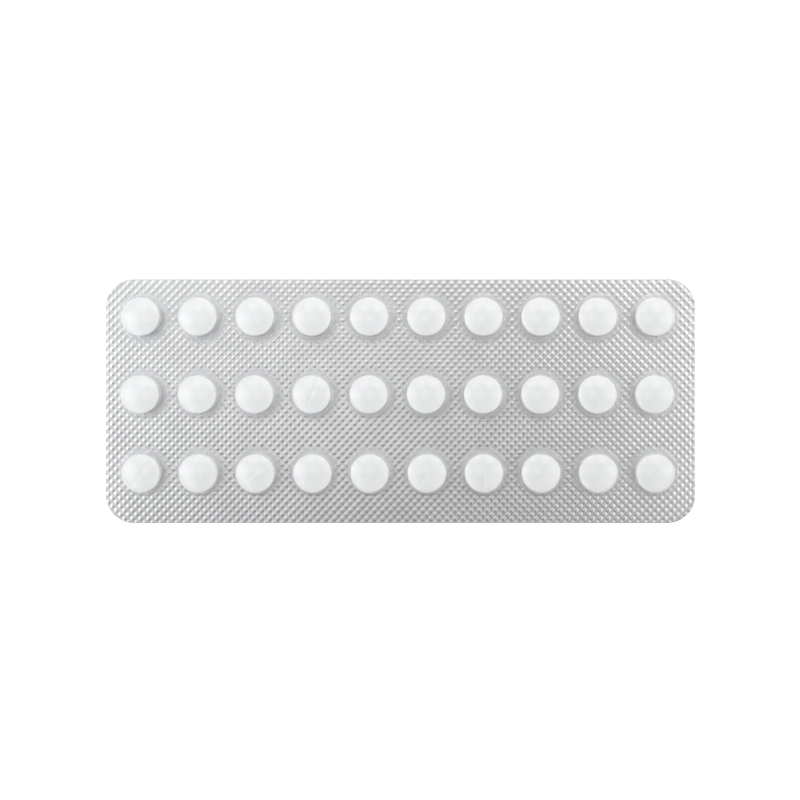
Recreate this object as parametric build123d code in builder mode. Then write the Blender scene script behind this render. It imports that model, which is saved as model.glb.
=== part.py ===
"""Blister pack of thirty round tablets, three rows of ten.

The pack lies on its foil with the pockets up. X runs along its length and Y across it, and the origin is
under its middle, on the surface that it lies on. Row 1 is the row nearest to the +Y edge, and column 1 is the
one nearest to the -X end. Sizes are in millimetres and angles in degrees.
"""
from build123d import *

import os
from math import cos, radians, sin, sqrt, tan

os.makedirs("parts", exist_ok=True)

# Tablets
tablet_diameter = 7.0
tablet_thickness = 2.4
tablet_bevel = 0.2
score_depth = 0.25

# Lidding foil
foil_thickness = 0.05

# Thermoformed film: the flat flange keeps the sheet's thickness, and the drawn pockets are thinner
flange_thickness = 0.25
pocket_wall = 0.18
pocket_draft = 14.0
shoulder = 0.8
crown_radius = 8.3
foot_bend = 0.3

# Room round a tablet in its pocket, measured at the foil, and over its edge, under the domed roof
tablet_play = 1.0
tablet_headroom = 0.2

# Layout of the pockets, and the flat film left between and around them
columns = 10
rows = 3
column_web = 1.04
row_web = 4.74
margin_left = 2.3
margin_right = 2.8
margin_top = 2.35
margin_bottom = 4.85
corner_radius = 5.2

# How far the tablets have slid from the middles of their pockets, by row, as shares of their free room
slid_x = {1: -0.6, 2: -0.8, 3: -0.35}
slid_y = {1: -0.1, 2: -0.2, 3: -0.85}

# Tablets that lie with the score line up, as (row, column) and the line's angle from +X. Each of the others
# lies on its score, turned by one step more than the last
score_up = {
    (2, 3): 140.0,
    (2, 4): 69.0,
    (3, 1): 57.0,
    (3, 2): 107.0,
    (3, 3): 36.0,
    (3, 5): 140.0,
    (3, 6): 56.0,
    (3, 7): 90.0,
}
score_down_step = 47.0

# The cavity that each pocket forms round its tablet, with a roof that is part of a sphere
cavity_radius = tablet_diameter / 2 + tablet_play
cavity_crown = crown_radius - pocket_wall
crown_rise = cavity_crown - sqrt(cavity_crown**2 - (tablet_diameter / 2) ** 2)
cavity_height = tablet_thickness + tablet_headroom + crown_rise
cavity_shoulder = shoulder - pocket_wall
free_room = cavity_radius - tablet_thickness * tan(radians(pocket_draft)) - tablet_diameter / 2

# The pocket's outside, one wall thickness from the cavity
pocket_radius = cavity_radius + pocket_wall / cos(radians(pocket_draft))
pocket_height = cavity_height + pocket_wall

# The card, sized by its pockets
column_pitch = 2 * pocket_radius + column_web
row_pitch = 2 * pocket_radius + row_web
card_length = margin_left + 2 * pocket_radius + (columns - 1) * column_pitch + margin_right
card_width = margin_bottom + 2 * pocket_radius + (rows - 1) * row_pitch + margin_top
grid_x = (margin_left - margin_right) / 2
grid_y = (margin_bottom - margin_top) / 2


def pocket_centre(row, column):
    """Give the middle of one pocket."""
    x = grid_x + (column - (columns + 1) / 2) * column_pitch
    y = grid_y + ((rows + 1) / 2 - row) * row_pitch
    return x, y


def pocket_form(radius, height, crown, bend):
    """Turn the form of one pocket, standing on the foil at the origin: a drafted wall under a domed roof."""
    with BuildPart() as form:
        with BuildSketch(Plane.XZ) as section:
            with BuildLine():
                Polyline(
                    (0, foil_thickness),
                    (radius, foil_thickness),
                    (radius - height * tan(radians(pocket_draft)), foil_thickness + height),
                    (0, foil_thickness + height),
                    close=True,
                )
            make_face()
            with Locations((0, foil_thickness + height - crown)):
                Circle(crown, mode=Mode.INTERSECT)
            fillet(section.vertices().sort_by(Axis.X)[-2], bend)
        revolve(axis=Axis.Z)
    return form.part


def make_film():
    """Form the clear film: a flat flange with a drawn pocket over each tablet, open underneath."""
    pocket = pocket_form(pocket_radius, pocket_height, crown_radius, shoulder)
    cavity = pocket_form(cavity_radius, cavity_height, cavity_crown, cavity_shoulder)
    with BuildPart() as film:
        with BuildSketch(Plane.XY.offset(foil_thickness)):
            RectangleRounded(card_length, card_width, corner_radius)
        extrude(amount=flange_thickness)
        with Locations((grid_x, grid_y)):
            with GridLocations(column_pitch, row_pitch, columns, rows):
                add(pocket)
        flange_top = film.faces().filter_by(Axis.Z).sort_by(Axis.Z)[-1]
        fillet(flange_top.inner_wires().edges(), foot_bend)
        with Locations((grid_x, grid_y)):
            with GridLocations(column_pitch, row_pitch, columns, rows):
                add(cavity, mode=Mode.SUBTRACT)
    return film


def make_foil():
    """Cut the lidding foil to the same outline as the film."""
    with BuildPart() as foil:
        with BuildSketch():
            RectangleRounded(card_length, card_width, corner_radius)
        extrude(amount=foil_thickness)
    return foil


def make_tablet(row, column):
    """Press one flat tablet with bevelled rims and a V score across one face, lying on the foil."""
    x, y = pocket_centre(row, column)
    x += slid_x[row] * free_room
    y += slid_y[row] * free_room
    faces_up = (row, column) in score_up
    turn = score_up.get((row, column), (row * columns + column) * score_down_step)
    middle = Plane(
        origin=(x, y, foil_thickness + tablet_thickness / 2),
        x_dir=(cos(radians(turn)), sin(radians(turn)), 0),
        z_dir=(0, 0, 1 if faces_up else -1),
    )
    with BuildPart(middle) as tablet:
        Cylinder(tablet_diameter / 2, tablet_thickness)
        chamfer(tablet.edges().filter_by(GeomType.CIRCLE), tablet_bevel)
        with Locations((0, 0, tablet_thickness / 2)):
            side = score_depth * sqrt(2)
            Box(2 * tablet_diameter, side, side, rotation=(45, 0, 0), mode=Mode.SUBTRACT)
    return tablet


blister_film = make_film()
blister_film.part.label = "blister_film"
export_step(blister_film.part, "parts/blister_film.step")

lidding_foil = make_foil()
lidding_foil.part.label = "lidding_foil"
export_step(lidding_foil.part, "parts/lidding_foil.step")

for row in range(1, rows + 1):
    for column in range(1, columns + 1):
        tablet = make_tablet(row, column)
        tablet.part.label = f"tablet_r{row}_c{column:02d}"
        export_step(tablet.part, f"parts/{tablet.part.label}.step")

print(f"card {card_length:.2f} x {card_width:.2f} x {foil_thickness + pocket_height:.2f} mm")
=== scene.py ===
"""Pill blister pack: thirty round tablets in a clear film, on knurled foil.

Lengths are in metres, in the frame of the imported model: the pack lies on its foil with the pockets up, X runs
along it and Y across it, and the origin is under its middle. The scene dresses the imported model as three
sub-assemblies, the lidding foil, the blister film and the tablets, and puts them on a plain pale floor under
soft studio light, seen from straight above.
"""
import logging
from dataclasses import dataclass, field
from enum import Enum
from math import pi, radians

import bmesh
import bpy
import numpy as np
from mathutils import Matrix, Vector


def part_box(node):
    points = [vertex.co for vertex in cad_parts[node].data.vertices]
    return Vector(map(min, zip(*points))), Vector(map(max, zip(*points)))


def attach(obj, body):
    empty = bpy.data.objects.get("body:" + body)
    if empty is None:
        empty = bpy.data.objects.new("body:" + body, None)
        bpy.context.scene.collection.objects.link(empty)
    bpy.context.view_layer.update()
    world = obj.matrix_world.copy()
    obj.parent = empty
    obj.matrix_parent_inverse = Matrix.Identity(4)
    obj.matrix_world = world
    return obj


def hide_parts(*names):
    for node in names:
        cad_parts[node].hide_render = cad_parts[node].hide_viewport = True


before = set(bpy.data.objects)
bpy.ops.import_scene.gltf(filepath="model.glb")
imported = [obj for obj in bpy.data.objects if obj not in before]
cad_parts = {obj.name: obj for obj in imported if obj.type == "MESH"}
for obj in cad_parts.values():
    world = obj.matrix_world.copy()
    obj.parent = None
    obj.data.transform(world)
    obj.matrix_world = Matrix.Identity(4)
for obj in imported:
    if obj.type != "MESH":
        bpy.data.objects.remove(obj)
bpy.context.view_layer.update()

BODY = "root"
MM = 0.001
# Welded points are rounded to a grid of this size, shifted so that round numbers don't fall on its borders.
WELD_GRID = 1e-5 * MM
WELD_SHIFT = 0.123
LOG = logging.getLogger("blister_pack")

Colour = tuple[float, float, float, float]


def grey(level: float) -> Colour:
    """Give the opaque grey of one level."""
    return (level, level, level, 1.0)


def smoothstep(low: float, high: float, value: np.ndarray) -> np.ndarray:
    """Rise smoothly from 0 at low to 1 at high: 3 t^2 - 2 t^3, with t the share of the way, 0 to 1."""
    share = np.clip((value - low) / (high - low), 0.0, 1.0)
    return share * share * (3.0 - 2.0 * share)


class Value:
    """A number that varies over a surface: an output socket whose arithmetic adds Math nodes."""

    def __init__(self, graph: "Graph", socket: bpy.types.NodeSocket) -> None:
        """Wrap one output socket of a graph."""
        self.graph = graph
        self.socket = socket

    def _math(self, operation: str, *operands: "Value | float") -> "Value":
        """Add one Math node, with its operands in order, and give its result."""
        node = self.graph.add("ShaderNodeMath", {"operation": operation}, dict(enumerate(operands)))
        return Value(self.graph, node.outputs[0])

    def __add__(self, other: "Value | float") -> "Value":
        """Add."""
        return self._math("ADD", self, other)

    def __radd__(self, other: float) -> "Value":
        """Add to a plain number."""
        return self._math("ADD", other, self)

    def __sub__(self, other: "Value | float") -> "Value":
        """Subtract."""
        return self._math("SUBTRACT", self, other)

    def __rsub__(self, other: float) -> "Value":
        """Subtract from a plain number."""
        return self._math("SUBTRACT", other, self)

    def __mul__(self, other: "Value | float") -> "Value":
        """Multiply."""
        return self._math("MULTIPLY", self, other)

    def __rmul__(self, other: float) -> "Value":
        """Multiply a plain number."""
        return self._math("MULTIPLY", other, self)

    def __pow__(self, exponent: "Value | float") -> "Value":
        """Raise to a power."""
        return self._math("POWER", self, exponent)

    def root(self) -> "Value":
        """Take the square root."""
        return self._math("SQRT", self)

    def cosine(self) -> "Value":
        """Take the cosine of an angle in radians."""
        return self._math("COSINE", self)

    def angle_to(self, other: "Value") -> "Value":
        """Take the angle whose tangent is this value over another."""
        return self._math("ARCTAN2", self, other)

    def wrapped(self, low: float, high: float) -> "Value":
        """Bring the value into one period, from low to high."""
        return self._math("WRAP", self, high, low)

    def between(self, low: float, high: float) -> "Value":
        """Rate the value from 0 at low to 1 at high, smoothly.

        Args:
            low: Where the rise starts.
            high: Where the rise ends.

        Returns:
            The rating.
        """
        sockets = {"Value": self, "From Min": low, "From Max": high}
        node = self.graph.add("ShaderNodeMapRange", {"interpolation_type": "SMOOTHSTEP"}, sockets)
        return Value(self.graph, node.outputs["Result"])


class Graph:
    """The node tree of one material or of the world."""

    def __init__(self, tree: bpy.types.NodeTree) -> None:
        """Take over a node tree and clear it."""
        self.tree = tree
        tree.nodes.clear()

    def add(
        self,
        kind: str,
        settings: dict[str, object] | None = None,
        sockets: dict[str | int, object] | None = None,
    ) -> bpy.types.Node:
        """Add one node: its settings first, then its sockets.

        Args:
            kind: The node's type.
            settings: Properties of the node, by name.
            sockets: Values, sockets or Values for its inputs, by name or number.

        Returns:
            The node.
        """
        node = self.tree.nodes.new(kind)
        for name, setting in (settings or {}).items():
            setattr(node, name, setting)
        for name, source in (sockets or {}).items():
            if isinstance(source, Value):
                self.tree.links.new(source.socket, node.inputs[name])
            elif isinstance(source, bpy.types.NodeSocket):
                self.tree.links.new(source, node.inputs[name])
            else:
                node.inputs[name].default_value = source
        return node

    def place(self) -> bpy.types.NodeSocket:
        """Give the surface's Object coordinates."""
        return self.add("ShaderNodeTexCoord").outputs["Object"]

    def axes(self, place: bpy.types.NodeSocket) -> tuple[Value, Value, Value]:
        """Split a place into its X, Y and Z."""
        node = self.add("ShaderNodeSeparateXYZ", sockets={"Vector": place})
        return tuple(Value(self, output) for output in node.outputs)

    def noise(self, place: bpy.types.NodeSocket, size: float, detail: float = 2.0) -> Value:
        """Make fractal noise, about 0 to 1, with largest features of a size and some finer layers."""
        sockets = {"Vector": place, "Scale": 1.0 / size, "Detail": detail}
        return Value(self, self.add("ShaderNodeTexNoise", sockets=sockets).outputs[0])

    def mix(self, factor: Value, low: Colour, high: Colour) -> bpy.types.NodeSocket:
        """Mix two colours: the low one at a factor of 0 and the high one at 1."""
        settings = {"data_type": "RGBA"}
        return self.add("ShaderNodeMix", settings, {0: factor, 6: low, 7: high}).outputs[2]

    def bump(self, height: Value) -> bpy.types.NodeSocket:
        """Turn a relief's height in metres into a normal."""
        sockets = {"Strength": 1.0, "Distance": 1.0, "Height": height}
        return self.add("ShaderNodeBump", sockets=sockets).outputs["Normal"]

    def surface(self, shader: bpy.types.Node) -> None:
        """Send a shader to the material's output."""
        self.add("ShaderNodeOutputMaterial", sockets={"Surface": shader.outputs[0]})

    def principled(self, sockets: dict[str, object]) -> None:
        """Send a Principled shader with these sockets to the material's output."""
        self.surface(self.add("ShaderNodeBsdfPrincipled", sockets=sockets))


def new_material(name: str) -> tuple[bpy.types.Material, Graph]:
    """Start a node-based material.

    Args:
        name: The material's name.

    Returns:
        The material, and its cleared graph.
    """
    material = bpy.data.materials.new(name)
    material.use_nodes = True
    return material, Graph(material.node_tree)


def weld(points: np.ndarray, faces: np.ndarray) -> tuple[np.ndarray, np.ndarray]:
    """Join the points that share a place.

    Each point is rounded to a fine grid, and the points of one grid place become one.

    Args:
        points: The points, one a row.
        faces: The corners' point numbers.

    Returns:
        The points that are left, and the corners' new numbers.
    """
    keys = np.round(points / WELD_GRID + WELD_SHIFT).astype(np.int64)
    _, first, number = np.unique(keys, axis=0, return_index=True, return_inverse=True)
    return points[first], number.ravel()[faces]


def make_piece(name: str, points: np.ndarray, *faces: np.ndarray) -> bpy.types.Object:
    """Put points and faces into a new smooth object at the origin.

    Args:
        name: The piece's name.
        points: The points, one a row.
        faces: Arrays of faces as rows of point numbers, one array for each number of corners.

    Returns:
        The object, linked to the scene.
    """
    corners = np.concatenate([group.ravel() for group in faces]).astype(np.int32)
    totals = np.concatenate([np.full(len(group), group.shape[1]) for group in faces])
    starts = (np.cumsum(totals) - totals).astype(np.int32)
    mesh = bpy.data.meshes.new(name)
    mesh.vertices.add(len(points))
    mesh.vertices.foreach_set("co", points.astype(np.float32).ravel())
    mesh.loops.add(len(corners))
    mesh.loops.foreach_set("vertex_index", corners)
    mesh.polygons.add(len(starts))
    mesh.polygons.foreach_set("loop_start", starts)
    mesh.update(calc_edges=True)
    mesh.shade_smooth()
    piece = bpy.data.objects.new(name, mesh)
    bpy.context.scene.collection.objects.link(piece)
    return piece


def strip(first: np.ndarray, second: np.ndarray) -> np.ndarray:
    """Join two rings of point numbers with quads: first k, second k, second k + 1 and first k + 1."""
    return np.stack([first, second, np.roll(second, -1), np.roll(first, -1)], axis=-1)


def bands(rings: np.ndarray) -> np.ndarray:
    """Join each ring of point numbers with the next."""
    return np.concatenate([strip(first, second) for first, second in zip(rings, rings[1:])])


def lattice(number: np.ndarray) -> np.ndarray:
    """Join a grid of point numbers with quads that turn from its first axis towards its second."""
    corners = [number[:-1, :-1], number[1:, :-1], number[1:, 1:], number[:-1, 1:]]
    return np.stack(corners, axis=-1).reshape(-1, 4)


def flipped(quads: np.ndarray) -> np.ndarray:
    """Turn quads over, so that they face the other way."""
    return quads[:, [0, 3, 2, 1]]


@dataclass(frozen=True)
class Knurl:
    """The pressed pattern of small bumps in staggered rows that seals the foil to the film.

    Attributes:
        along: The pattern's period in X, with one bump at its corner and one at its middle.
        across: Its period in Y.
        height: How high a bump stands.
        sharpness: The power that narrows the bumps and widens the flat between them.
        start: The place of one bump's middle.
    """

    along: float = 1.481 * MM
    across: float = 1.514 * MM
    height: float = 0.146 * MM
    sharpness: float = 1.66
    start: tuple[float, float] = (0.46 * MM, 0.41 * MM)

    def relief(self, x: np.ndarray, y: np.ndarray) -> np.ndarray:
        """Give the height of the bumps over places of the sheet.

        With x and y taken from the start, the two diagonal phases are u = 2 pi (x / along + y / across) and
        v = 2 pi (x / along - y / across). The height is the bump's times the product of (1 + cos u) / 2 and
        (1 + cos v) / 2, raised to the sharpness.

        Args:
            x: The places in X.
            y: The places in Y.

        Returns:
            The height at each place.
        """
        along, across = (x - self.start[0]) / self.along, (y - self.start[1]) / self.across
        u, v = 2.0 * pi * (along + across), 2.0 * pi * (along - across)
        return self.height * (0.25 * (1.0 + np.cos(u)) * (1.0 + np.cos(v))) ** self.sharpness

    def shaded(self, graph: Graph, place: bpy.types.NodeSocket, height: float) -> Value:
        """Give the same pattern as a height for a shader.

        Args:
            graph: The material's graph.
            place: Its Object coordinates.
            height: How high a bump stands.

        Returns:
            The height, by the formula of relief.
        """
        x, y, _ = graph.axes(place)
        along = (x - self.start[0]) * (2.0 * pi / self.along)
        across = (y - self.start[1]) * (2.0 * pi / self.across)
        bumps = (1.0 + (along + across).cosine()) * (1.0 + (along - across).cosine()) * 0.25
        return bumps**self.sharpness * height


@dataclass(frozen=True)
class Pocket:
    """One pocket: its tablet's node, and its middle in X and Y."""

    tablet: str
    x: float
    y: float


@dataclass
class Card:
    """The card's outline and the places of its pockets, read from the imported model.

    Attributes:
        corner: The radius of its corners.
        wave: How far the sheet lifts where it isn't quite flat.
        waves: The radians a metre in X and in Y of each wave of that lift, and its phase.
        rows: How many rows of pockets it has.
        tip: How far under the highest point a point still counts as the tip of a roof.
        reach: How far from a tablet's middle its roof's tip may lie, in its diameters.
        low: Its lowest corner.
        high: Its highest corner.
        pockets: Its pockets, row by row from +Y, each row from -X.
        pitch: The distance between pockets in X and Y.
    """

    corner: float = 5.2 * MM
    wave: float = 0.03 * MM
    waves: tuple[tuple[float, float, float], ...] = (
        (310.0, 120.0, 0.4),
        (-150.0, 420.0, 1.9),
        (520.0, -260.0, 4.1),
    )
    rows: int = 3
    tip: float = 0.01 * MM
    reach: float = 0.6
    low: Vector = field(init=False)
    high: Vector = field(init=False)
    pockets: list[Pocket] = field(init=False)
    pitch: tuple[float, float] = field(init=False)

    def __post_init__(self) -> None:
        """Read the outline from the film's box, and the pockets' even lattice from the film's roofs."""
        self.low, self.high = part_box("blister_film")
        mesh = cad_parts["blister_film"].data
        points = np.empty(3 * len(mesh.vertices), np.float32)
        mesh.vertices.foreach_get("co", points)
        points = points.reshape(-1, 3)
        roofs = points[points[:, 2] > self.high.z - self.tip, :2]
        names = sorted(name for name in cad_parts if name.startswith("tablet_"))
        middles = []
        for name in names:
            low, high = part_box(name)
            away = np.hypot(*(roofs - np.array((low + high).xy) / 2.0).T)
            mine = roofs[away < self.reach * (high.x - low.x)]
            middles.append((mine.min(axis=0) + mine.max(axis=0)) / 2.0)
        grid = np.array(middles, np.float64).reshape(self.rows, -1, 2)
        xs, ys = grid[..., 0].mean(axis=0), grid[..., 1].mean(axis=1)
        xs, ys = np.linspace(xs[0], xs[-1], len(xs)), np.linspace(ys[0], ys[-1], len(ys))
        self.pitch = (float(xs[1] - xs[0]), float(ys[0] - ys[1]))
        places = [(float(x), float(y)) for y in ys for x in xs]
        self.pockets = [Pocket(name, x, y) for name, (x, y) in zip(names, places)]

    def half_width(self, x: np.ndarray) -> np.ndarray:
        """Give half the card's width at each X."""
        # At a distance d past the start of a corner of radius R it has fallen by R - sqrt(R^2 - d^2).
        past = np.clip(np.abs(x) - (self.high.x - self.corner), 0.0, self.corner)
        return self.high.y - self.corner + np.sqrt(self.corner**2 - past**2)

    def lift(self, x: np.ndarray, y: np.ndarray) -> np.ndarray:
        """Give the resting sheet's lift: the mean of sine waves across it, none under 0, times its height."""
        total = sum(1.0 + np.sin(a * x + b * y + phase) for a, b, phase in self.waves)
        return self.wave * total / (2.0 * len(self.waves))

    def from_pocket(self, graph: Graph, place: bpy.types.NodeSocket) -> tuple[Value, Value, Value]:
        """Give a shader's distances from the middle of the nearest pocket.

        X and Y from the first pocket are each wrapped into one pitch, and the third is the root of the sum of
        their squares.

        Args:
            graph: The material's graph.
            place: Its Object coordinates.

        Returns:
            The distances in X, in Y and straight away.
        """
        x, y, _ = graph.axes(place)
        first, (pitch_x, pitch_y) = self.pockets[0], self.pitch
        across = (x - first.x).wrapped(-pitch_x / 2.0, pitch_x / 2.0)
        up = (y - first.y).wrapped(-pitch_y / 2.0, pitch_y / 2.0)
        return across, up, (across * across + up * up).root()


@dataclass(frozen=True)
class FoilFinish:
    """Bright aluminium foil with a thin clear lacquer, slightly brushed by rolling.

    Attributes:
        card: The card, for the places of the pockets.
        metal: The colour where it is cleanest.
        dull: The colour where the lacquer clouds it.
        cloud: The width of these clouds.
        clouded: The levels of their noise between which they thicken.
        roughness: How far it scatters its reflections.
        cloudy: How much the clouds change that.
        brushed: How much the rolling marks change it.
        slack: How much further it scatters them under a pocket, where it wasn't pressed smooth.
        seal: The radii round a pocket's middle between which it turns from slack to sealed.
        mark: The width of the rolling marks.
        stretch: That width's share of their length.
        grain: The depth of the rolling marks.
        crease: The depth of its soft creases under a pocket.
        crease_width: The width of these creases.
    """

    card: Card
    metal: Colour = (0.75, 0.752, 0.758, 1.0)
    dull: Colour = (0.69, 0.692, 0.698, 1.0)
    cloud: float = 6.0 * MM
    clouded: tuple[float, float] = (0.3, 0.75)
    roughness: float = 0.19
    cloudy: float = 0.10
    brushed: float = 0.05
    slack: float = 0.10
    seal: tuple[float, float] = (3.9 * MM, 4.7 * MM)
    mark: float = 0.09 * MM
    stretch: float = 0.08
    grain: float = 0.0004 * MM
    crease: float = 0.03 * MM
    crease_width: float = 1.6 * MM

    def material(self) -> bpy.types.Material:
        """Make the material.

        Returns:
            The material.
        """
        material, graph = new_material("lidding_foil_aluminium")
        place = graph.place()
        cloud = graph.noise(place, self.cloud, 3.0)
        sockets = {"Vector": place, "Scale": (self.stretch, 1.0, 1.0)}
        marks = graph.noise(graph.add("ShaderNodeMapping", sockets=sockets).outputs[0], self.mark)
        loose = 1.0 - self.card.from_pocket(graph, place)[2].between(*self.seal)
        crease = graph.noise(place, self.crease_width, 1.0) * loose * self.crease
        scatter = (cloud - 0.5) * self.cloudy + marks * self.brushed + loose * self.slack
        sockets = {
            "Base Color": graph.mix(cloud.between(*self.clouded), self.metal, self.dull),
            "Metallic": 1.0,
            "Roughness": scatter + self.roughness,
            "Normal": graph.bump(marks * self.grain + crease),
        }
        graph.principled(sockets)
        return material


@dataclass(frozen=True)
class FilmFinish:
    """Clear glossy film, which lets most light through and mirrors the rest.

    Attributes:
        card: The card, for the places of the pockets.
        knurl: The pattern that the seal leaves in the film.
        tint: The share of each colour that passes one face of the film.
        mirror: The share of light that one face mirrors when the eye looks straight at it.
        drawn_mirror: The same share on the pockets' roofs, which are drawn thin and smooth.
        gloss: How far the flange scatters its reflections.
        drawn_gloss: How far the drawn roofs scatter them.
        roof: The heights between which the film turns from wall to roof.
        flange: The heights between which the seal's imprint fades out.
        imprint: How deep the seal's pattern shows in the film's own face.
        rays: How many fine folds run out from each roof's middle.
        fold: The depth of these folds.
        fold_rise: The heights between which they fade in.
        fold_reach: The distances from the roof's middle between which they fade in.
        wander: How many radians noise bends them.
        wander_width: The width of that noise.
        ripple: The depth of the film's soft unevenness.
        ripple_width: The width of that unevenness.
    """

    card: Card
    knurl: Knurl = Knurl()
    tint: Colour = (0.996, 0.998, 1.0, 1.0)
    mirror: float = 0.042
    drawn_mirror: float = 0.065
    gloss: float = 0.05
    drawn_gloss: float = 0.16
    roof: tuple[float, float] = (2.4 * MM, 2.8 * MM)
    flange: tuple[float, float] = (0.30 * MM, 0.45 * MM)
    imprint: float = 0.012 * MM
    rays: float = 34.0
    fold: float = 0.010 * MM
    fold_rise: tuple[float, float] = (1.8 * MM, 2.4 * MM)
    fold_reach: tuple[float, float] = (1.0 * MM, 3.2 * MM)
    wander: float = 9.0
    wander_width: float = 2.0 * MM
    ripple: float = 0.012 * MM
    ripple_width: float = 2.5 * MM

    def relief(self, graph: Graph, place: bpy.types.NodeSocket) -> Value:
        """Give the film's fine relief: the seal's imprint, the roofs' radial folds and a soft ripple.

        The folds are the cosine of the turn round the roof's middle times their number, bent a little by
        noise, and they fade out towards the middle.

        Args:
            graph: The material's graph.
            place: Its Object coordinates.

        Returns:
            The height.
        """
        _, _, z = graph.axes(place)
        across, up, away = self.card.from_pocket(graph, place)
        drawn = z.between(*self.fold_rise) * away.between(*self.fold_reach)
        bend = graph.noise(place, self.wander_width, 1.0) * self.wander
        folds = (up.angle_to(across) * self.rays + bend).cosine() * drawn * (self.fold * 0.5)
        ripple = graph.noise(place, self.ripple_width, 1.0) * self.ripple
        imprint = self.knurl.shaded(graph, place, self.imprint) * (1.0 - z.between(*self.flange))
        return imprint + folds + ripple

    def material(self) -> bpy.types.Material:
        """Make the material: a mirror over clear film, with more mirror where the film is seen edge on.

        With f 0 where the film faces the eye and 1 where it is seen edge on, its mirrored share is m plus
        (1 - m) f^5. The share m rises from the flange's to the roofs'.

        Returns:
            The material.
        """
        material, graph = new_material("blister_film_clear")
        place = graph.place()
        _, _, z = graph.axes(place)
        roof = z.between(*self.roof)
        facing = Value(graph, graph.add("ShaderNodeLayerWeight", sockets={"Blend": 0.5}).outputs["Facing"])
        clear = graph.add("ShaderNodeBsdfTransparent", sockets={"Color": self.tint})
        sockets = {
            "Roughness": roof * (self.drawn_gloss - self.gloss) + self.gloss,
            "Normal": graph.bump(self.relief(graph, place)),
        }
        gloss = graph.add("ShaderNodeBsdfGlossy", sockets=sockets)
        mirror = roof * (self.drawn_mirror - self.mirror) + self.mirror
        mirrored = facing**5.0 * (1.0 - mirror) + mirror
        sockets = {0: mirrored, 1: clear.outputs[0], 2: gloss.outputs[0]}
        graph.surface(graph.add("ShaderNodeMixShader", sockets=sockets))
        return material


@dataclass(frozen=True)
class TabletFinish:
    """Pressed white powder: matt, faintly speckled and finely grained.

    Attributes:
        powder: The colour of the powder.
        speck: The colour of its faint specks.
        speck_width: The width of these specks.
        specked: The levels of their noise between which they show.
        grain: The depth of its grain.
        grain_width: The width of that grain.
        roughness: How far it scatters its reflections.
        sheen: How strongly it mirrors, as a specular level.
    """

    powder: Colour = (0.945, 0.945, 0.942, 1.0)
    speck: Colour = (0.89, 0.888, 0.88, 1.0)
    speck_width: float = 0.35 * MM
    specked: tuple[float, float] = (0.52, 0.72)
    grain: float = 0.012 * MM
    grain_width: float = 0.12 * MM
    roughness: float = 0.78
    sheen: float = 0.3

    def material(self) -> bpy.types.Material:
        """Make the material.

        Returns:
            The material.
        """
        material, graph = new_material("tablet_powder")
        place = graph.place()
        specks = graph.noise(place, self.speck_width, 3.0)
        sockets = {
            "Base Color": graph.mix(specks.between(*self.specked), self.powder, self.speck),
            "Roughness": self.roughness,
            "Specular IOR Level": self.sheen,
            "Normal": graph.bump(graph.noise(place, self.grain_width) * self.grain),
        }
        graph.principled(sockets)
        return material


@dataclass(frozen=True)
class FloorFinish:
    """A plain pale table top.

    Attributes:
        paint: Its colour.
        shade: The colour of its faint unevenness.
        uneven: The width of that unevenness.
        roughness: How far it scatters its reflections.
        sheen: How strongly it mirrors, as a specular level.
        glow: How much light it gives by itself, so that it stays as pale as a lit studio table.
    """

    paint: Colour = grey(0.90)
    shade: Colour = grey(0.88)
    uneven: float = 0.4
    roughness: float = 0.9
    sheen: float = 0.2
    glow: float = 0.40

    def material(self) -> bpy.types.Material:
        """Make the material.

        Returns:
            The material.
        """
        material, graph = new_material("floor_pale")
        tone = graph.noise(graph.place(), self.uneven, 1.0)
        sockets = {
            "Base Color": graph.mix(tone, self.paint, self.shade),
            "Roughness": self.roughness,
            "Specular IOR Level": self.sheen,
            "Emission Color": grey(1.0),
            "Emission Strength": self.glow,
        }
        graph.principled(sockets)
        return material


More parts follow.
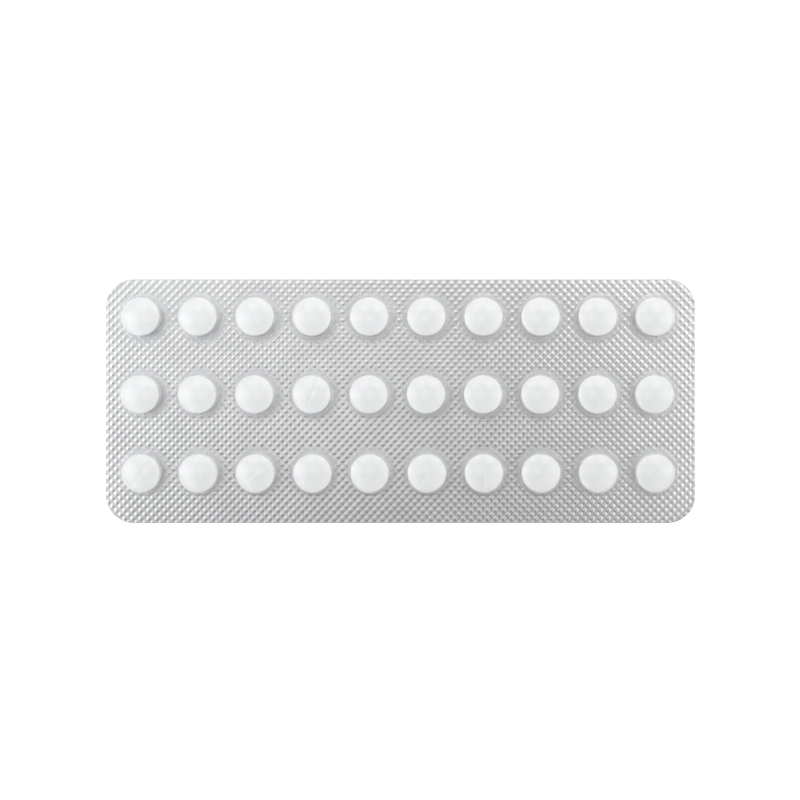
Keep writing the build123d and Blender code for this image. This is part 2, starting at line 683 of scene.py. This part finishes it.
@dataclass
class LiddingFoil:
    """The aluminium foil: knurled where it is sealed to the film, and flat under each pocket.

    Attributes:
        card: The card that it is cut to.
        finish: Its finish.
        knurl: The pattern pressed into it.
        thickness: Its thickness where it is flat.
        inset: How far its cut edge lies inside the film's.
        flat_radius: The radius round each pocket's middle where it stays flat, under the tablet.
        slack_share: The share of the knurl's height that it has under the rest of the pocket.
        seal_radius: The radius where it is sealed and the whole knurl starts.
        fade: The width over which the knurl changes.
        samples: How many grid lines each period of the knurl has.
    """

    card: Card
    finish: FoilFinish
    knurl: Knurl = Knurl()
    thickness: float = 0.05 * MM
    inset: float = 0.03 * MM
    flat_radius: float = 3.30 * MM
    slack_share: float = 0.60
    seal_radius: float = 4.70 * MM
    fade: float = 0.30 * MM
    samples: int = 7

    def grid_lines(self) -> np.ndarray:
        """Place the grid's lines in X.

        They are even between the corners' starts. Over a corner they stand at its start plus R sin t, with R
        its radius and t even from 0 to a right angle, so that its arc is cut into even lengths.

        Returns:
            The lines' places, from -X to +X.
        """
        step = self.knurl.along / self.samples
        start = self.card.high.x - self.card.corner
        middle = np.linspace(-start, start, int(round(2.0 * start / step)) + 1)
        turn = np.linspace(0.0, pi / 2.0, int(round(self.card.corner * pi / 2.0 / step)) + 1)[1:]
        end = start + (self.card.corner - self.inset) * np.sin(turn)
        return np.concatenate([-end[::-1], middle, end])

    def under_pocket(self, x: np.ndarray, y: np.ndarray) -> np.ndarray:
        """Give the distance from each place to the nearest pocket's middle."""
        away = [np.hypot(x - pocket.x, y - pocket.y) for pocket in self.card.pockets]
        return np.min(away, axis=0)

    def top(self, x: np.ndarray, y: np.ndarray) -> np.ndarray:
        """Give the height of the foil's upper face.

        It is the sheet's lift and thickness, plus the knurl's relief, which fades in past the flat radius to
        its slack share, and past the seal's radius to the whole.

        Args:
            x: The places in X.
            y: The places in Y.

        Returns:
            The height at each place.
        """
        away = self.under_pocket(x, y)
        loose = smoothstep(self.flat_radius, self.flat_radius + self.fade, away)
        sealed = smoothstep(self.seal_radius, self.seal_radius + self.fade, away)
        share = self.slack_share * loose + (1.0 - self.slack_share) * sealed
        return self.card.lift(x, y) + self.thickness + share * self.knurl.relief(x, y)

    def build(self) -> bpy.types.Object:
        """Build the foil as a closed mesh.

        Its upper face is a grid of X lines by shares of the card's width, in which the quads that lie wholly
        under a tablet join into one flat face. Its underside and cut edge close it.

        Returns:
            The foil.
        """
        lines = self.grid_lines()
        rows = int(round(2.0 * self.card.high.y / (self.knurl.across / self.samples))) + 1
        share = np.linspace(-1.0, 1.0, rows)
        x, share = np.meshgrid(lines, share, indexing="ij")
        y = share * (self.card.half_width(x) - self.inset)
        top = np.stack([x, y, self.top(x, y)], axis=-1).reshape(-1, 3)
        number = np.arange(x.size).reshape(x.shape)
        rim = np.concatenate([number[:, 0], number[-1, 1:], number[-2::-1, -1], number[0, -2:0:-1]])
        under = top[rim] * (1.0, 1.0, 0.0)
        under_rim = len(top) + np.arange(len(rim))
        quads = np.concatenate([lattice(number), flipped(strip(under_rim, rim))])
        foil = make_piece("foil_knurled", np.concatenate([top, under]), quads, under_rim[None, ::-1])
        self.clear_pockets(foil)
        foil.data.materials.append(self.finish.material())
        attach(foil, BODY)
        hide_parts("lidding_foil")
        return foil

    def clear_pockets(self, foil: bpy.types.Object) -> None:
        """Join the upper face's quads under each tablet into one flat face.

        Args:
            foil: The foil.
        """
        mesh = bmesh.new()
        mesh.from_mesh(foil.data)
        mesh.faces.ensure_lookup_table()
        points = np.array([vertex.co for vertex in mesh.verts])
        inside = self.under_pocket(points[:, 0], points[:, 1]) < self.flat_radius
        inside &= points[:, 2] > 0.0
        quads = [face for face in mesh.faces if len(face.verts) == 4]
        inner = [face for face in quads if all(inside[vertex.index] for vertex in face.verts)]
        bmesh.ops.dissolve_faces(mesh, faces=inner, use_verts=False)
        mesh.to_mesh(foil.data)
        mesh.free()


@dataclass
class BlisterFilm:
    """The clear film: a flat flange with a drawn pocket over each tablet, as one closed shell.

    Attributes:
        card: The card that it is cut to.
        finish: Its finish.
        flange: The height of the flange's upper face.
        seat: The height of its underside, just inside the foil.
        foil: The height of the foil's upper face.
        wall: The thickness of the drawn wall.
        draft: The lean of the pockets' walls.
        base_radius: The pocket's outer radius at the foil.
        crown: The radius of the sphere that a roof is part of.
        shoulder: The radius of the bend between wall and roof.
        fillet: The radius of the bend between flange and wall.
        roof_points: How many points the roof's arc has outside and inside.
        shoulder_points: How many the shoulder's arc has outside and inside.
        fillet_points: How many the fillet's arc has.
        flats: Where the rings of the flange stand, as shares of the way from the foot to the cell's border.
        tilt: How far roofs tilt, as a slope.
        side: How many points each side of a pocket's cell has.
        near: How near to the card's outline a point of that side counts as on it.
        seed: The seed of the roofs' unevenness.
    """

    card: Card
    finish: FilmFinish
    flange: float = 0.30 * MM
    seat: float = 0.045 * MM
    foil: float = 0.05 * MM
    wall: float = 0.18 * MM
    draft: float = radians(14.0)
    base_radius: float = 4.685 * MM
    crown: float = 8.3 * MM
    shoulder: float = 0.8 * MM
    fillet: float = 0.3 * MM
    roof_points: tuple[int, int] = (9, 6)
    shoulder_points: tuple[int, int] = (6, 4)
    fillet_points: int = 5
    flats: tuple[float, ...] = (0.25, 0.6, 1.0)
    tilt: float = 0.008
    side: int = 18
    near: float = 0.001 * MM
    seed: int = 30

    def profile(self, inner: bool) -> np.ndarray:
        """Draw half a pocket's section, from the roof's middle out to the flange.

        With n the wall's outward normal and K the wall's distance from the origin along it, the shoulder's
        middle lies at the distance K - b along n, with b its radius, and crown - b from the crown's middle.
        The roof is an arc about the crown's middle, up to the line that joins both middles. The shoulder's
        arc runs from there to the wall's normal. Outside, a third arc about a middle at K + f along n, with f
        the fillet, turns the straight wall into the flange.

        Args:
            inner: Whether it is the cavity's section, one wall inside and with no arc at its foot.

        Returns:
            The section as rows of radius and height.
        """
        inward = self.wall if inner else 0.0
        normal = np.array([np.cos(self.draft), np.sin(self.draft)])
        along = np.array([-normal[1], normal[0]])
        reach = float(normal @ (self.base_radius, self.foil))
        crown_middle = np.array([0.0, self.card.high.z - self.crown])
        side = reach - self.shoulder
        rise = np.sqrt((self.crown - self.shoulder) ** 2 - (side - normal @ crown_middle) ** 2)
        shoulder_middle = side * normal + (along @ crown_middle + rise) * along
        joint = np.arctan2(*(shoulder_middle - crown_middle)[::-1])
        roof_points, shoulder_points = self.roof_points[inner], self.shoulder_points[inner]
        sections = [
            self.arc(crown_middle, self.crown - inward, (pi / 2.0, joint), roof_points),
            self.arc(shoulder_middle, self.shoulder - inward, (joint, self.draft), shoulder_points)[1:],
        ]
        if inner:
            sections.append(((reach - inward - self.seat * normal[1]) / normal[0], self.seat))
        else:
            level = self.flange + self.fillet
            middle = np.array([(reach + self.fillet - level * normal[1]) / normal[0], level])
            sections.append(self.arc(middle, self.fillet, (pi + self.draft, 1.5 * pi), self.fillet_points))
        return np.concatenate([np.atleast_2d(section) for section in sections])

    @staticmethod
    def arc(middle: np.ndarray, radius: float, turn: tuple[float, float], count: int) -> np.ndarray:
        """Place points evenly along an arc: its middle plus its radius times each turn's cosine and sine."""
        angle = np.linspace(*turn, count)
        return middle + radius * np.stack([np.cos(angle), np.sin(angle)], axis=-1)

    def cell_border(self, pocket: Pocket) -> np.ndarray:
        """Place the points round one pocket's cell.

        The cell reaches half a pitch each way, or to the card's edge where it has no neighbour. Its sides are
        cut evenly, from the corner at +X and -Y. Points past the start of the card's corner move along their
        line to the corner's middle, on to its arc.

        Args:
            pocket: The pocket.

        Returns:
            The points, as rows of X and Y.
        """
        half = np.array(self.card.pitch) / 2.0
        middle = np.array([pocket.x, pocket.y])
        others = np.array([[other.x, other.y] for other in self.card.pockets])
        first, last = middle < others.min(axis=0) + half, middle > others.max(axis=0) - half
        west, south = np.where(first, self.card.low.xy, middle - half)
        east, north = np.where(last, self.card.high.xy, middle + half)
        corners = np.array([[east, south], [east, north], [west, north], [west, south]])
        share = np.arange(self.side)[:, None] / self.side
        sides = [a + (b - a) * share for a, b in zip(corners, np.roll(corners, -1, axis=0))]
        border = np.concatenate(sides)
        start = np.array([self.card.high.x, self.card.high.y]) - self.card.corner
        past = np.abs(border) - start
        reach = np.hypot(past[:, 0], past[:, 1])[:, None]
        on_arc = np.sign(border) * (start + past * self.card.corner / reach)
        return np.where((past > 0.0).all(axis=1)[:, None], on_arc, border)

    def cell(self, pocket: Pocket, rng: np.random.Generator) -> tuple[np.ndarray, np.ndarray, np.ndarray]:
        """Build one pocket and the film round it.

        Each ring of the section is a circle of as many points as the border has. Between the foot's circle
        and the border, rings move from one to the other. A roof's tilt fades out down its wall.

        Args:
            pocket: The pocket.
            rng: The source of the roof's tilt.

        Returns:
            The points, the quads, and the triangles at the roof's middle.
        """
        border = self.cell_border(pocket)
        count = len(border)
        angle = -pi / 4.0 + 2.0 * pi * np.arange(count) / count
        mean_lift = 0.5 * self.card.wave
        circle = np.stack([np.cos(angle), np.sin(angle)], axis=-1)
        lean = rng.normal(0.0, self.tilt, 2)
        centre = np.array([pocket.x, pocket.y])
        points, quads, triangles = [], [], []
        start = 0
        for inner, shares in ((False, self.flats), (True, self.flats[-1:])):
            section = self.profile(inner)
            rings = centre + section[1:, 0, None, None] * circle
            heights = np.repeat(section[1:, 1], count).reshape(-1, count)
            foot, level = rings[-1], section[-1, 1]
            flats = np.stack([foot + (border - foot) * share for share in shares])
            rings = np.concatenate([rings, flats])
            heights = np.concatenate([heights, np.full(flats.shape[:2], level)])
            local = rings - centre
            up = smoothstep(self.flange, self.card.high.z - self.shoulder, heights)
            heights = heights + up * (local @ lean) + self.card.lift(rings[..., 0], rings[..., 1])
            heights -= up * mean_lift
            tip_lift = float(self.card.lift(np.array(pocket.x), np.array(pocket.y))) - mean_lift
            tip = np.array([[pocket.x, pocket.y, section[0, 1] + tip_lift]])
            points += [tip, np.concatenate([rings, heights[..., None]], axis=-1).reshape(-1, 3)]
            number = start + 1 + np.arange(rings.shape[0] * count).reshape(-1, count)
            walls = bands(number)
            fan = np.stack([np.full(count, start), number[0], np.roll(number[0], -1)], axis=-1)
            quads.append(walls[:, ::-1] if inner else walls)
            triangles.append(fan[:, ::-1] if inner else fan)
            start += 1 + number.size
            if inner:
                quads.append(self.cut_edge(border, top_ring, number[-1]))
            top_ring = number[-1]
        return np.concatenate(points), np.concatenate(quads), np.concatenate(triangles)

    def cut_edge(self, border: np.ndarray, upper: np.ndarray, lower: np.ndarray) -> np.ndarray:
        """Close the film's cut edge along the part of a cell's border that is on the card's outline.

        Args:
            border: The border's points.
            upper: Their numbers on the flange.
            lower: Their numbers on its underside.

        Returns:
            The quads between both faces.
        """
        inside_x = np.abs(border[:, 0]) < self.card.high.x - self.near
        inside_y = np.abs(border[:, 1]) < self.card.half_width(border[:, 0]) - self.near
        outline = ~(inside_x & inside_y)
        return flipped(strip(lower, upper)[outline & np.roll(outline, -1)])

    def build(self) -> bpy.types.Object:
        """Build the film from its pockets' cells, welded along their borders.

        Returns:
            The film.
        """
        rng = np.random.default_rng(self.seed)
        points, quads, triangles = [], [], []
        count = 0
        for pocket in self.card.pockets:
            cell_points, cell_quads, cell_triangles = self.cell(pocket, rng)
            points.append(cell_points)
            quads.append(cell_quads + count)
            triangles.append(cell_triangles + count)
            count += len(cell_points)
        quads = np.concatenate(quads)
        corners = np.concatenate([quads.ravel(), np.concatenate(triangles).ravel()])
        points, corners = weld(np.concatenate(points), corners)
        four, three = corners[: quads.size].reshape(-1, 4), corners[quads.size :].reshape(-1, 3)
        film = make_piece("film_formed", points, four, three)
        film.data.materials.append(self.finish.material())
        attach(film, BODY)
        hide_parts("blister_film")
        return film


class Face(Enum):
    """Which way a tablet's scored face looks."""

    UP = 1.0
    DOWN = -1.0


@dataclass
class Tablet:
    """One pressed tablet, flat on both faces, with rounded rims and a V score across one face.

    Attributes:
        node: The node that it stands for.
        scored: Which way its scored face looks.
        turn: The score line's angle from +X.
        rim: The width of the rounded rim.
        score: The depth of the score, and half its width.
        rows: How many rows of quads its faces have across the score.
        columns: How many quads each row has.
        guides: Where a row has to stand, in depths of the score from its middle.
        rim_points: How many points each rim's arc has.
    """

    node: str
    scored: Face
    turn: float
    rim: float = 0.2 * MM
    score: float = 0.25 * MM
    rows: int = 34
    columns: int = 22
    guides: tuple[float, ...] = (0.0, -0.5, 0.5, -1.0, 1.0, -1.3, 1.3)
    rim_points: int = 6

    def row_places(self, radius: float) -> np.ndarray:
        """Place the rows of a face across the score.

        A row stands at the radius times the sine of an angle, and the angles are even from a quarter turn one
        way to a quarter turn the other. The row nearest to each guide moves on to it.

        Args:
            radius: The radius of the flat face.

        Returns:
            The rows' places, poles included.
        """
        rows = radius * np.sin(np.linspace(-pi / 2.0, pi / 2.0, self.rows + 1))
        for guide in self.guides:
            rows[np.argmin(np.abs(rows - guide * self.score))] = guide * self.score
        return np.sort(rows)

    def groove(self, across: np.ndarray) -> np.ndarray:
        """Give the score's depth: the V's depth less the distance from its middle, where that is over 0."""
        return np.maximum(self.score - np.abs(across), 0.0)

    def face(self, radius: float) -> tuple[np.ndarray, np.ndarray, np.ndarray, np.ndarray]:
        """Cut a round face into rows along the score.

        At the place y a row reaches sqrt(r^2 - y^2) to each side, with r the radius, and is cut evenly. A fan
        joins the first and the last row to a pole each.

        Args:
            radius: The face's radius.

        Returns:
            The points in X and Y, the quads, the triangles, and the numbers of the points round its outline.
        """
        places = self.row_places(radius)
        inner = places[1:-1, None]
        x = np.sqrt(np.maximum(radius**2 - inner**2, 0.0)) * np.linspace(-1.0, 1.0, self.columns + 1)
        sheet = np.stack([x, np.broadcast_to(inner, x.shape)], axis=-1).reshape(-1, 2)
        sheet = np.concatenate([sheet, [[0.0, places[0]], [0.0, places[-1]]]])
        number = np.arange(x.size).reshape(x.shape)
        south, north = x.size, x.size + 1
        first, last = number[0], number[-1]
        fans = np.concatenate([
            np.stack([np.full(self.columns, south), first[1:], first[:-1]], axis=-1),
            np.stack([np.full(self.columns, north), last[:-1], last[1:]], axis=-1),
        ])
        outline = np.concatenate([[south], number[:, -1], [north], number[::-1, 0]])
        return sheet, flipped(lattice(number)), fans, outline

    def placed(self, points: np.ndarray, middle: Vector) -> np.ndarray:
        """Lay the tablet's points in its pocket.

        Y and Z change sign where the scored face looks down. With t the turn, a point then goes to x cos t -
        y sin t and x sin t + y cos t from the middle.

        Args:
            points: The points about the tablet's own middle.
            middle: Its middle in the pocket.

        Returns:
            The points in the pocket.
        """
        x, y, z = (points * (1.0, self.scored.value, self.scored.value)).T
        cosine, sine = np.cos(self.turn), np.sin(self.turn)
        across = middle.x + cosine * x - sine * y
        up = middle.y + sine * x + cosine * y
        return np.column_stack([across, up, middle.z + z])

    def build(self, finish: bpy.types.Material) -> bpy.types.Object:
        """Build the tablet.

        From the outline of its upper face, rings run down the rim, a quarter circle, and the straight side
        to the lower face. The score cuts face and rim alike.

        Args:
            finish: The material of all tablets.

        Returns:
            The tablet.
        """
        low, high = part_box(self.node)
        half = (high.z - low.z) / 2.0
        flat = (high.x - low.x) / 2.0 - self.rim
        sheet, quads, fans, outline = self.face(flat)
        bend = np.linspace(pi / 2.0, 0.0, self.rim_points)[1:]
        radius = flat + self.rim * np.cos(bend)
        level = half - self.rim + self.rim * np.sin(bend)
        rings = np.concatenate([radius, radius[::-1]])[:, None, None] * (sheet[outline] / flat)
        levels = np.concatenate([level, -level[::-1]])[:, None]
        levels = np.minimum(levels, half - self.groove(rings[..., 1]))
        upper = np.column_stack([sheet, half - self.groove(sheet[:, 1])])
        lower = np.column_stack([sheet, np.full(len(sheet), -half)])
        sides = np.concatenate([rings, levels[..., None]], axis=-1).reshape(-1, 3)
        points = self.placed(np.concatenate([upper, lower, sides]), (low + high) / 2.0)
        base = len(sheet)
        number = 2 * base + np.arange(levels.size).reshape(levels.shape)
        walls = bands(np.concatenate([outline[None], number, (outline + base)[None]]))
        quads = np.concatenate([quads, quads[:, ::-1] + base, walls])
        triangles = np.concatenate([fans, fans[:, ::-1] + base])
        tablet = make_piece(self.node.replace("tablet", "tablet_pressed"), points, quads, triangles)
        tablet.data.materials.append(finish)
        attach(tablet, BODY)
        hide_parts(self.node)
        return tablet


@dataclass
class TabletSet:
    """The thirty tablets, each as it lies in its pocket.

    Attributes:
        card: The card with the pockets.
        finish: The tablets' finish.
        score_up: The score line's angle in degrees on each tablet whose score looks up.
        step: By how many degrees each of the others is turned on from the last.
    """

    card: Card
    finish: TabletFinish = TabletFinish()
    score_up: dict[str, float] = field(
        default_factory=lambda: {
            "tablet_r2_c03": 140.0,
            "tablet_r2_c04": 69.0,
            "tablet_r3_c01": 57.0,
            "tablet_r3_c02": 107.0,
            "tablet_r3_c03": 36.0,
            "tablet_r3_c05": 140.0,
            "tablet_r3_c06": 56.0,
            "tablet_r3_c07": 90.0,
        }
    )
    step: float = 47.0

    def build(self) -> list[bpy.types.Object]:
        """Build all tablets.

        Returns:
            The tablets, in the order of the card's pockets.
        """
        material = self.finish.material()
        tablets = []
        for number, pocket in enumerate(self.card.pockets):
            name = pocket.tablet
            scored = Face.UP if name in self.score_up else Face.DOWN
            turn = radians(self.score_up.get(name, number * self.step))
            tablets.append(Tablet(name, scored, turn).build(material))
        return tablets


@dataclass(frozen=True)
class GlowRing:
    """Soft patches of light that stand evenly round a ring over the pack, the first of them towards +X.

    Attributes:
        radius: The ring's radius.
        spread: How far from its middle a patch has fallen to 1 / e.
        radiances: How bright each patch's middle is, with white paper in full light at 1.
    """

    radius: float
    spread: float
    radiances: tuple[float, ...]

    def over(self, x: np.ndarray, y: np.ndarray) -> np.ndarray:
        """Give the ring's light at each place.

        A patch's light is its radiance times e to the power of minus the square of d / spread, with d the
        distance from its middle, and the patches add up.

        Args:
            x: The places in X.
            y: The places in Y.

        Returns:
            The light at each place.
        """
        turn = 2.0 * pi * np.arange(len(self.radiances)) / len(self.radiances)
        across = x[..., None] - self.radius * np.cos(turn)
        up = y[..., None] - self.radius * np.sin(turn)
        return np.exp(-(across**2 + up**2) / self.spread**2) @ np.array(self.radiances)


@dataclass(frozen=True)
class Diffuser:
    """A wide white cloth stretched over the pack and lit from behind by soft lamps.

    Attributes:
        height: How high it hangs.
        width: Its width.
        cells: How many quads each side has.
        power: How far the lamps behind it are turned up.
        rings: The light that falls through it.
        cool: The colour of its light towards -X.
        neutral: The colour of the rest.
        turn: Where the cool light starts to fade and where it has gone.
    """

    height: float = 0.242
    width: float = 1.6
    cells: int = 48
    power: float = 0.93
    rings: tuple[GlowRing, ...] = (
        GlowRing(0.60, 0.17, (0.6, 0.8, 0.9, 1.2, 1.2, 1.6, 2.2, 1.5, 0.7, 0.7, 0.1, 0.2)),
        GlowRing(0.30, 0.12, (2.1, 1.8, 2.0, 1.2, 2.6, 1.5, 0.3, 1.1)),
        GlowRing(0.15, 0.065, (0.9, 1.6, 1.6, 0.9, 0.2, 0.5)),
        GlowRing(0.03, 0.047, (0.4, 1.15)),
    )
    cool: tuple[float, float, float] = (0.975, 0.985, 1.0)
    neutral: tuple[float, float, float] = (1.0, 1.0, 1.0)
    turn: tuple[float, float] = (-0.35, 0.05)

    def material(self) -> bpy.types.Material:
        """Make the glowing cloth, which gives off the light that its mesh carries.

        Returns:
            The material.
        """
        material, graph = new_material("diffuser_cloth")
        light = graph.add("ShaderNodeAttribute", {"attribute_name": "light"}).outputs["Color"]
        sockets = {"Base Color": grey(0.0), "Emission Color": light, "Emission Strength": 1.0}
        graph.principled(sockets)
        return material

    def build(self) -> bpy.types.Object:
        """Hang the diffuser, facing down and unseen by the camera, with its light stored at its points.

        Returns:
            The diffuser.
        """
        line = np.linspace(-self.width / 2.0, self.width / 2.0, self.cells + 1)
        x, y = np.meshgrid(line, line, indexing="ij")
        quads = flipped(lattice(np.arange(x.size).reshape(x.shape)))
        points = np.stack([x, y, np.full_like(x, self.height)], axis=-1).reshape(-1, 3)
        cloth = make_piece("diffuser", points, quads)
        light = self.power * sum(ring.over(x, y) for ring in self.rings).ravel()[:, None]
        warm = smoothstep(*self.turn, x).ravel()[:, None]
        colour = light * ((1.0 - warm) * self.cool + warm * self.neutral)
        colour = np.column_stack([colour, np.ones(len(colour))])
        stored = cloth.data.attributes.new("light", "FLOAT_COLOR", "POINT")
        stored.data.foreach_set("color", colour.astype(np.float32).ravel())
        cloth.data.materials.append(self.material())
        cloth.visible_camera = False
        return cloth


@dataclass
class Studio:
    """The floor, the diffuser, the surroundings and the camera.

    Attributes:
        floor: The floor's finish.
        diffuser: The light over the pack.
        floor_size: The width of the floor.
        gap: How far it lies under the pack.
        sky: How bright the surroundings are as light.
        slant: How much brighter they are at the +X and the +Y horizon than over the middle.
        backdrop: How bright they are to the eye.
        flange: The height of the film's flange.
        camera_height: How high the camera stands over the flange.
        view_width: The width that it sees at the flange.
        aim: The place that it looks straight down on.
        sensor: The width of its sensor.
        clip: The nearest and farthest distance that it sees.
    """

    floor: FloorFinish = FloorFinish()
    diffuser: Diffuser = Diffuser()
    floor_size: float = 6.0
    gap: float = 0.002 * MM
    sky: float = 0.65
    slant: tuple[float, float] = (-0.30, 0.22)
    backdrop: float = 1.0
    flange: float = 0.3 * MM
    camera_height: float = 250.0 * MM
    view_width: float = 146.7 * MM
    aim: tuple[float, float] = (-0.09 * MM, 0.18 * MM)
    sensor: float = 36.0
    clip: tuple[float, float] = (0.01, 50.0)

    def build_floor(self) -> bpy.types.Object:
        """Lay the floor under the pack.

        Returns:
            The floor.
        """
        corners = np.array([[-0.5, -0.5, 0.0], [0.5, -0.5, 0.0], [0.5, 0.5, 0.0], [-0.5, 0.5, 0.0]])
        points = corners * self.floor_size - (0.0, 0.0, self.gap)
        floor = make_piece("floor", points, np.array([[0, 1, 2, 3]]))
        floor.data.materials.append(self.floor.material())
        return floor

    def build_camera(self) -> bpy.types.Object:
        """Hang the camera over the pack, looking straight down with +Y at the top of the picture.

        A lens of focal length f and sensor width s sees a width of s h / f at the distance h.

        Returns:
            The camera.
        """
        data = bpy.data.cameras.new("camera")
        data.sensor_width = self.sensor
        data.lens = self.sensor * self.camera_height / self.view_width
        data.clip_start, data.clip_end = self.clip
        camera = bpy.data.objects.new("camera", data)
        camera.location = (*self.aim, self.camera_height + self.flange)
        bpy.context.scene.collection.objects.link(camera)
        bpy.context.scene.camera = camera
        return camera

    def build_surroundings(self) -> None:
        """Light the world softly from -X, with an even backdrop where the eye looks past the floor.

        With x and y a direction's parts along X and Y, its light is the sky's plus the slants times x and y.
        """
        world = bpy.data.worlds.new("studio")
        world.use_nodes = True
        bpy.context.scene.world = world
        graph = Graph(world.node_tree)
        seen = graph.add("ShaderNodeLightPath").outputs["Is Camera Ray"]
        x, y, _ = graph.axes(graph.add("ShaderNodeTexCoord").outputs["Generated"])
        light = x * self.slant[0] + y * self.slant[1] + self.sky
        dim = graph.add("ShaderNodeBackground", sockets={"Color": grey(1.0), "Strength": light})
        pale = graph.add("ShaderNodeBackground", sockets={"Color": grey(1.0), "Strength": self.backdrop})
        sockets = {0: seen, 1: dim.outputs[0], 2: pale.outputs[0]}
        mixed = graph.add("ShaderNodeMixShader", sockets=sockets)
        graph.add("ShaderNodeOutputWorld", sockets={"Surface": mixed.outputs[0]})

    def build(self) -> None:
        """Set up the camera, the floor, the light and the surroundings, with plain colour management."""
        self.build_camera()
        self.build_floor()
        self.build_surroundings()
        self.diffuser.build()
        bpy.context.scene.view_settings.view_transform = "Standard"
        bpy.context.scene.view_settings.look = "None"


def main() -> None:
    """Build the studio and the pack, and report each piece."""
    logging.basicConfig(level=logging.INFO, format="%(message)s")
    Studio().build()
    card = Card()
    foil = LiddingFoil(card, FoilFinish(card)).build()
    film = BlisterFilm(card, FilmFinish(card)).build()
    for piece in (foil, film, *TabletSet(card).build()):
        triangles = sum(len(polygon.vertices) - 2 for polygon in piece.data.polygons)
        LOG.info("%s: %d triangles", piece.name, triangles)


if __name__ == "__main__":
    main()
